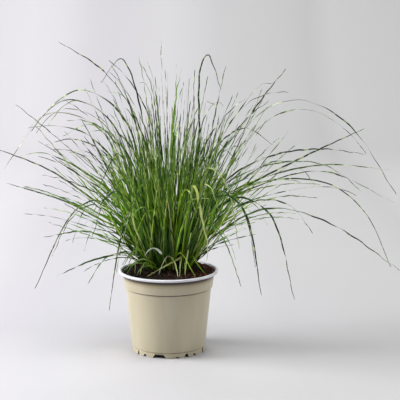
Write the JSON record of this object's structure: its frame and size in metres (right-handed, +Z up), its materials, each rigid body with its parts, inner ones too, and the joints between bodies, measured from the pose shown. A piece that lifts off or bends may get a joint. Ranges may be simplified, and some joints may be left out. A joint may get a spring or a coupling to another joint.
{
  "type": "potted ornamental grass",
  "caption": "Clump of fine arching ornamental grass growing in soil in a round tapered plastic grow pot with a rolled lip.",
  "frame": {"origin": "centre of the pot's foot, on the surface that the pot stands on, under the pot's axis", "axes": "+Z up along the pot's axis, +X to the right and -Y to the front of the clump as it was seen"},
  "size_m": [0.5285, 0.3298, 0.404],
  "materials": {
    "pot": "satin",
    "soil": "matte",
    "grass_deep": "satin",
    "grass_mid": "satin",
    "grass_yellow": "satin"
  },
  "bodies": {
    "root": {"pot": "pot", "soil": "soil", "tuft_01": "grass_deep", "tuft_02": "grass_mid", "tuft_03": "grass_yellow", "tuft_04": "grass_deep", "tuft_05": "grass_mid", "tuft_06": "grass_yellow", "tuft_07": "grass_deep", "tuft_08": "grass_mid", "tuft_09": "grass_yellow", "tuft_10": "grass_deep", "tuft_11": "grass_mid", "tuft_12": "grass_yellow", "tuft_13": "grass_deep", "tuft_14": "grass_mid", "tuft_15": "grass_yellow", "tuft_16": "grass_deep", "tuft_17": "grass_mid", "tuft_18": "grass_yellow", "tuft_19": "grass_deep", "tuft_20": "grass_mid", "tuft_21": "grass_yellow", "tuft_22": "grass_deep", "tuft_23": "grass_mid", "tuft_24": "grass_yellow", "tuft_25": "grass_deep", "tuft_26": "grass_mid", "tuft_27": "grass_yellow", "tuft_28": "grass_deep", "tuft_29": "grass_mid", "tuft_30": "grass_yellow", "tuft_31": "grass_deep", "tuft_32": "grass_mid", "tuft_33": "grass_yellow", "tuft_34": "grass_deep", "tuft_35": "grass_mid", "tuft_36": "grass_yellow", "tuft_37": "grass_deep", "tuft_38": "grass_mid", "tuft_39": "grass_yellow", "tuft_40": "grass_deep", "tuft_41": "grass_mid", "tuft_42": "grass_yellow", "tuft_43": "grass_deep", "tuft_44": "grass_mid", "tuft_45": "grass_yellow", "tuft_46": "grass_deep", "tuft_47": "grass_mid", "tuft_48": "grass_yellow", "tuft_49": "grass_deep", "tuft_50": "grass_mid", "tuft_51": "grass_yellow", "tuft_52": "grass_deep", "tuft_53": "grass_mid", "tuft_54": "grass_yellow", "tuft_55": "grass_deep", "tuft_56": "grass_mid"}
  },
  "joints": []
}
